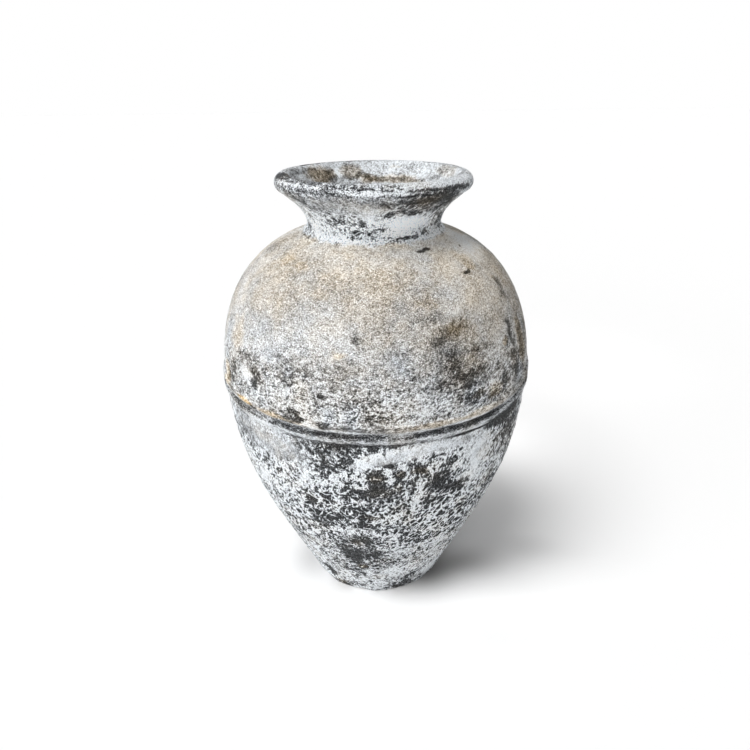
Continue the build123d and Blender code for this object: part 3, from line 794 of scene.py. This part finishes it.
clay_white = paint(250, 253, 255)
print("clay helpers ready, brightest lime", [round(share, 3) for share in clay_white])

# %% [markdown]
# ## Lime and soot
# Every piece is the same fired clay, so one node group makes its surface. Small cells give the lime its
# crumbs, with soot in the middle of each; larger cells are the pits, with a vein of lime round each;
# blotches and flecks vary both. Together with the tone they say how far lime covers a place. On old clay
# lime ends at an edge and doesn't fade, so a tanh curve makes the cover's edge crisp. Fine grit comes
# after it and stays soft.

# %% Cover of lime
properties = {
    "Tone": 0.7, "Contrast": 0.5, "Coarse": 0.5, "Pitted": 0.0, "Warmth": 0.5, "Lift": 0.0, "Neck_painted_light": 1.0,
}
group, entry, leave = new_group(
    "lime_and_soot", properties,
    {"Color": "NodeSocketColor", "Roughness": "NodeSocketFloat", "Height": "NodeSocketFloat"},
)
given = entry.outputs
place = group.nodes.new("ShaderNodeTexCoord").outputs["Object"]
push = group.nodes.new("ShaderNodeCombineXYZ")
group.links.new(given["Lift"], push.inputs["Z"])
raised = vector_node(group, "ADD", place, push.outputs[0])
bend = group.nodes.new("ShaderNodeTexNoise")
bend.inputs["Scale"].default_value = 1 / (16 * mm)
bend.inputs["Detail"].default_value = 2.0
group.links.new(raised, bend.inputs["Vector"])
sway = vector_node(group, "MULTIPLY", bend.outputs["Color"], (15 * mm, 15 * mm, 15 * mm))
bent = vector_node(group, "ADD", raised, sway)
net = math_node(group, "SUBTRACT", cell_node(group, bent, 9 * mm, "F1"), 0.45)
crumbs = math_node(group, "SUBTRACT", cell_node(group, bent, 5 * mm, "F1"), 0.48)
flattened = vector_node(group, "MULTIPLY", bent, (1.0, 1.0, pit_flatness))
rim_of_pit = math_node(group, "MULTIPLY", cell_node(group, flattened, pit_size, "DISTANCE_TO_EDGE"), 6.0)
vein = math_node(group, "MAXIMUM", 0.0, math_node(group, "SUBTRACT", 1.0, rim_of_pit))
pits = math_node(group, "SUBTRACT", math_node(group, "MULTIPLY", vein, 0.80), 0.36)
blotch = noise_node(group, bent, size=24 * mm, detail=6.0, roughness=0.68)
grit = noise_node(group, raised, size=1.9 * mm, detail=1.0, roughness=0.6)
flecks = noise_node(group, raised, size=4 * mm, detail=1.0, roughness=0.5)
speckle = weighted(group, (net, 0.9), (crumbs, 0.9), (blotch, 1.9), (flecks, 1.5))
lime = math_node(group, "MULTIPLY", speckle, given["Coarse"])
uneven = weighted(group, (lime, given["Contrast"]), (pits, given["Pitted"]))
cover = math_node(group, "ADD", given["Tone"], uneven)
print("cover made of", len(group.nodes), "nodes")

# %% [markdown]
# ## Tone into colour
# A ramp turns tone into soot, clay or lime, and warmth tints it. Where the tone is low the soot of
# neighbouring cells runs together, and where it is high only flecks are left. Brown shows most where the
# lime is thin, so the tint fades as the tone rises. Painted light then brightens the white neck past its
# colour, to make up for the flare's shade. Roughness and the height for the bump follow the tone too,
# because a crust of lime stands proud of the clay and is dull.

# %% Tone into colour
middle_tone = 0.55
soot_gain = 0.016
edge_steepness = 4.2
tone_span = 0.48
least_sand = 0.4
grit_strength = 3.0
tone_shift = 0.2
tone_range = 1.5
warm_tint = (1.135, 1.015, 0.87, 1)

past_middle = math_node(group, "SUBTRACT", cover, middle_tone + soot_gain)
crisp = math_node(group, "TANH", math_node(group, "MULTIPLY", past_middle, edge_steepness), 0.0)
edged = math_node(group, "ADD", math_node(group, "MULTIPLY", crisp, tone_span), middle_tone)
fineness = math_node(group, "SUBTRACT", 1.25, math_node(group, "MULTIPLY", given["Coarse"], 0.75))
sandy = math_node(group, "MAXIMUM", given["Contrast"], least_sand)
sanded = math_node(group, "MULTIPLY", grit, math_node(group, "MULTIPLY", sandy, fineness))
tone = math_node(group, "ADD", edged, math_node(group, "MULTIPLY", sanded, grit_strength))
ramp = group.nodes.new("ShaderNodeValToRGB")
on_ramp = math_node(group, "DIVIDE", math_node(group, "ADD", tone, tone_shift), tone_range)
group.links.new(on_ramp, ramp.inputs[0])
steps = [
    (0.0, paint(22, 23, 24)), (0.25, paint(60, 62, 64)), (0.45, paint(111, 113, 115)),
    (0.62, paint(155, 157, 159)), (0.80, paint(201, 205, 209)), (0.95, paint(232, 237, 242)),
    (1.2, clay_white),
]
while len(ramp.color_ramp.elements) < len(steps):
    ramp.color_ramp.elements.new(0.5)
for element, (at, colour) in zip(ramp.color_ramp.elements, steps):
    element.position = (at + tone_shift) / tone_range
    element.color = colour
browner = math_node(group, "SUBTRACT", 2.2, math_node(group, "MULTIPLY", tone, 1.75))
warm = math_node(group, "MULTIPLY", given["Warmth"], browner)
tint = mix_colour(group, "MIX", warm, white, warm_tint)
tinted = mix_colour(group, "MULTIPLY", 1.0, ramp.outputs[0], tint)
# painted light: the colour times the neck's factor, past white on the neck under the flare
group.links.new(mix_colour(group, "MULTIPLY", 1.0, tinted, given["Neck_painted_light"]), leave.inputs["Color"])
dull = math_node(group, "ADD", 0.80, math_node(group, "MULTIPLY", tone, 0.12))
group.links.new(dull, leave.inputs["Roughness"])
group.links.new(tone, leave.inputs["Height"])
print("group", group.name, "with", len(group.nodes), "nodes and", len(steps), "steps of tone")

# %% [markdown]
# ## Materials
# The shoulder's skin is fine and the rest bears a crust, so there are two materials. Both place the same
# group, fed with the weather that each piece carries as attributes on its points, and differ in how deep
# the bump is. Attributes need no unwrapping, and the mesh is fine enough to hold them.

# %% Materials
def clay_material(name, bump_height):
    """Dry clay whose colour, roughness and bump come from the piece's own weather attributes."""
    material = bpy.data.materials.new(name)
    tree_nodes, links = shader_tree(material)
    finish = tree_nodes.new("ShaderNodeGroup")
    finish.node_tree = bpy.data.node_groups["lime_and_soot"]
    for label in properties:
        read = tree_nodes.new("ShaderNodeAttribute")
        read.attribute_name = label.lower()
        links.new(read.outputs["Fac"], finish.inputs[label])
    body = tree_nodes.new("ShaderNodeBsdfPrincipled")
    body.inputs["Specular IOR Level"].default_value = 0.25
    bump = tree_nodes.new("ShaderNodeBump")
    bump.inputs["Strength"].default_value = 1.0
    bump.inputs["Distance"].default_value = bump_height
    output = tree_nodes.new("ShaderNodeOutputMaterial")
    links.new(finish.outputs["Color"], body.inputs["Base Color"])
    links.new(finish.outputs["Roughness"], body.inputs["Roughness"])
    links.new(finish.outputs["Height"], bump.inputs["Height"])
    links.new(bump.outputs[0], body.inputs["Normal"])
    links.new(body.outputs[0], output.inputs["Surface"])
    return material


finishes = {
    "shoulder_clay": clay_material("shoulder_clay_finish", 0.5 * mm),
    "weathered_clay": clay_material("weathered_clay_finish", 0.9 * mm),
}
slot_of = {part["node"]: part["material_slot"] for part in frame["record"]["subparts"]}
print("finishes", sorted(finishes))

# %% [markdown]
# ## Carrying a section round the axis
# Each piece is a section carried once round the axis, as on a potter's wheel. A spun curve with a
# modifier would do it too, but here the relief moves every point, so the whole grid of section rows
# and azimuth columns is worked out as arrays.

# %% The wheel
def turned_grid(line, columns):
    """Points, azimuths and outward section normals of a line carried round the axis, back seam first."""
    azimuth = np.linspace(-math.pi, math.pi, columns, endpoint=False)
    radius, height = line[:, :1], line[:, 1:]
    points = np.stack([radius * np.sin(azimuth), -radius * np.cos(azimuth), height + 0 * azimuth], -1)
    along = np.gradient(line, axis=0)
    along = along / np.maximum(np.hypot(along[:, 0], along[:, 1]), 1e-9)[:, None]
    out, up = along[:, 1:], -along[:, :1]
    across = np.stack([out * np.sin(azimuth), -out * np.cos(azimuth), up + 0 * azimuth], -1)
    return points, np.degrees(azimuth) + 0 * height, across


print("wheel ready")

# %% [markdown]
# ## Firing a grid into a mesh
# A grid is only points in rows and columns. Firing makes it a mesh: quads join each point to its
# neighbours, and a disc is closed at its two poles. foreach_set hands whole arrays to Blender, which is
# much quicker than adding vertices one by one. Edges where a worn face meets a seam are marked sharp, and
# the weather goes onto the points as attributes. The piece then takes the place of its CAD node.

# %% Firing
def fire(node, grid, finish, sharp_rows, closed=True):
    """Mesh object from a grid of points (rows up the section, columns round the axis).

    Quads join neighbouring rows and columns. A closed section joins its last row to its first; an open
    one ends in two poles on the axis, closed by fans of triangles.
    """
    rows, columns = grid.shape[:2]
    index = np.arange(rows * columns).reshape(rows, columns)
    ring = np.vstack([index, index[:1]]) if closed else index
    right = np.roll(ring, -1, axis=1)
    quads = np.stack([ring[:-1], right[:-1], right[1:], ring[1:]], -1).reshape(-1, 4)
    points = grid.reshape(-1, 3)
    corners, sizes = quads.ravel(), np.full(len(quads), 4)
    if not closed:
        poles = points[[0, -1]] * np.array([0, 0, 1])
        first, last = len(points), len(points) + 1
        points = np.vstack([points, poles])
        under = np.stack([np.full(columns, first), right[0], ring[0]], -1)
        over = np.stack([ring[-1], right[-1], np.full(columns, last)], -1)
        corners = np.concatenate([corners, under.ravel(), over.ravel()])
        sizes = np.concatenate([sizes, np.full(2 * columns, 3)])
    mesh = bpy.data.meshes.new(f"{node}_weathered")
    mesh.vertices.add(len(points))
    mesh.vertices.foreach_set("co", points.ravel())
    mesh.loops.add(len(corners))
    mesh.loops.foreach_set("vertex_index", corners.astype(np.int32))
    mesh.polygons.add(len(sizes))
    mesh.polygons.foreach_set("loop_start", (np.cumsum(sizes) - sizes).astype(np.int32))
    mesh.polygons.foreach_set("use_smooth", np.ones(len(sizes), bool))
    mesh.update(calc_edges=True)
    ends = np.empty(len(mesh.edges) * 2, np.int32)
    mesh.edges.foreach_get("vertices", ends)
    row_of = ends.reshape(-1, 2) // columns
    sharp = (row_of[:, 0] == row_of[:, 1]) & np.isin(row_of[:, 0], sharp_rows)
    mesh.attributes.new("sharp_edge", "BOOLEAN", "EDGE").data.foreach_set("value", sharp)
    for label, values in finish.items():
        values = np.append(values.ravel(), np.full(len(points) - rows * columns, values.mean()))
        mesh.attributes.new(label, "FLOAT", "POINT").data.foreach_set("value", values.astype(np.float32))
    mesh.materials.append(finishes[slot_of[node]])
    piece = bpy.data.objects.new(f"{node}_weathered", mesh)
    scene.collection.objects.link(piece)
    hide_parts(node)
    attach(piece, "root")
    print(piece.name, rows, "rows", columns, "columns", int((sizes - 2).sum()), "triangles")


print("slots", sorted(set(slot_of.values())))

# %% [markdown]
# ## Skins
# A section is made of strands, and each strand has a skin. The outside's weather and the mouth's move the
# clay; a bed is a face that touches a neighbour, so it stays where the CAD model put it. The lip takes
# the mouth's weather on its inward half and the outside's on its outward half, blended over the crest.

# %% Skins
low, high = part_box("lip_roll")
lip_radius = (high[2] - low[2]) / 2
lip_middle = np.array([high[0] - lip_radius, high[2] - lip_radius])
blend_start = lip_middle[0] - 8 * mm
blend_end = lip_middle[0] + 1 * mm


def lip_weather(points, azimuth):
    """Finish of the lip: the mouth's on the inward half of the roll, the outside's on the outward half."""
    outward = soft_step(np.hypot(points[..., 0], points[..., 1]), blend_start, blend_end)
    inside, inside_relief = mouth_weather(points, azimuth)
    outside, outside_relief = weather(points, azimuth)
    finish = {label: inside[label] + outward * (outside[label] - inside[label]) for label in inside}
    return finish, inside_relief + outward * (outside_relief - inside_relief)


skins = {"out": weather, "in": mouth_weather, "bed": mouth_weather, "lip": lip_weather}


def turn_piece(node, strands, columns, closed=True):
    """Turns a section of strands, each a (line, skin): a bed stays put, and any other skin moves with its
    weather, though never below the ground.
    """
    grids, finish, sharp_rows, count = [], [], [], 0
    for line, skin in strands:
        points, azimuth, across = turned_grid(line, columns)
        maps, relief = skins[skin](points, azimuth)
        if skin == "bed":
            points, maps = points[1:-1], {label: values[1:-1] for label, values in maps.items()}
        else:
            points = points + relief[..., None] * across
            points[..., 2] = np.maximum(points[..., 2], 0)
            sharp_rows += [count, count + len(points) - 1]
        count += len(points)
        grids.append(points)
        finish.append(maps)
    merged = {label: np.concatenate([maps[label] for maps in finish]) for label in finish[0]}
    fire(node, np.concatenate(grids), merged, sharp_rows, closed)


print("skins", sorted(skins), "lip middle at", lip_middle)

# %% [markdown]
# ## Wall courses
# Six courses make the wall. Each has a round tongue along its lower edge that sits in a groove of the
# piece below, so its section runs up the outside, across the upper seam, down the inside and back
# across the lower seam. Neighbours share the seam's points, and so they stay closed. The outside has
# short steps, because its relief is fine; the inside is smooth and needs few.

# %% Wall courses
def thinned(line, count):
    """A few points of a line, its ends among them."""
    return line[np.linspace(0, len(line) - 1, count).round().astype(int)]


outside_step = 2.3 * mm
inside_step = 8 * mm
seam_points = 8
body_columns = 800
neck_columns = 640
above_of = dict(zip(stack, stack[1:]))
for node in courses:
    low, high = joins[node], joins[above_of[node]]
    outer = even_steps(gauge(node, low[0], high[0]), outside_step)
    inner = even_steps(gauge(node, high[-1], low[-1], inside=True), inside_step)
    upper_seam, lower_seam = thinned(high, seam_points), thinned(low[::-1], seam_points)
    turn_piece(
        node, [(outer, "out"), (upper_seam, "bed"), (inner, "in"), (lower_seam, "bed")], body_columns)
print(len(courses), "courses turned")

# %% [markdown]
# ## Base slab
# The slab is the flat disc that the jar stands on. It could be a plain cylinder, but its edge leans and
# is worn, so it is turned as the courses are. Its underside stays flat, because it is the face that the
# jar rests on. Near the axis the rows would shrink to a point, so they stop short and a fan closes them.

# %% Base slab
flat_inset = 16 * mm
pole_gap = 2 * mm
disc_rows = 24
rim = joins["lower_course_1"]
edge = gauge("base_slab", (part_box("base_slab")[1][0] - flat_inset, 0.0), rim[0])
underside = np.column_stack([np.linspace(pole_gap, edge[0, 0], disc_rows), np.zeros(disc_rows)])
top = np.column_stack([np.linspace(rim[-1, 0], pole_gap, disc_rows), np.full(disc_rows, rim[-1, 1])])
worn_edge, groove = even_steps(edge, outside_step), thinned(rim, seam_points)
turn_piece(
    "base_slab", [(underside, "bed"), (worn_edge, "out"), (groove, "bed"), (top, "bed")],
    body_columns, closed=False)

# %% [markdown]
# ## Cords, coils and lip
# The cords, the coils and the lip are rolls of clay. A torus would do for a plain roll, but a cord has a
# round back on a seat that fits the wall, and a coil fills a corner. So the loop of each is read from its
# CAD section: its points, sorted by their angle about the middle. The lip is a full roll, so its loop is
# a circle; a part of it lies hidden in the bed along the flare's edge.

# %% Cords, coils and lip
ring_step = 1.6 * mm
floor_coil_step = 5 * mm
lip_rows = 60


def round_outline(node):
    """Section of a small ring as a loop: its points sorted by their angle about their middle."""
    points = section(node)
    off = points - (points.min(axis=0) + points.max(axis=0)) / 2
    loop = points[np.argsort(-np.arctan2(off[:, 1], -off[:, 0]))]
    return np.vstack([loop, loop[:1]])


rings = {
    "lower_cordon": ("out", ring_step, body_columns),
    "upper_cordon": ("out", ring_step, body_columns),
    "neck_coil": ("out", ring_step, neck_columns),
    "floor_coil": ("in", floor_coil_step, neck_columns),
}
for node, (skin, step, columns) in rings.items():
    loop = even_steps(round_outline(node), step)
    turn_piece(node, [(loop[:-1], skin)], columns)

around = np.linspace(-math.pi, math.pi, lip_rows, endpoint=False)
lip = lip_middle + lip_radius * np.column_stack([np.cos(around), np.sin(around)])
turn_piece("lip_roll", [(lip, "lip")], neck_columns)

# %% [markdown]
# ## Neck
# The neck rises from the shoulder's edge and flares out to the lip. Its section has four strands: the
# outside, the lip's bed, the inside down to the bore, and the seam on the shoulder. The bed could be
# drawn as an arc, but its points are in the CAD section already: they are those at the lip's radius from
# the lip's middle, so the roll lies in it without a gap.

# %% Neck
outer_step = 2.0 * mm
bore_step = 2.5 * mm
bed_points = 10
flare = section("neck_flare")
off = flare - lip_middle
on_lip = np.abs(np.hypot(off[:, 0], off[:, 1]) - lip_radius) < 0.2 * mm
bed = flare[on_lip][np.argsort(-(np.arctan2(off[on_lip, 1], off[on_lip, 0]) % (2 * math.pi)))]
print("lip bed from", bed[0], "to", bed[-1])
low = joins["neck_flare"]
outer = even_steps(gauge("neck_flare", low[0], bed[0]), outer_step)
inner = even_steps(gauge("neck_flare", bed[-1], low[-1], inside=True), bore_step)
lip_bed, lower_seam = thinned(bed, bed_points), thinned(low[::-1], seam_points)
turn_piece(
    "neck_flare", [(outer, "out"), (lip_bed, "bed"), (inner, "in"), (lower_seam, "bed")], neck_columns)
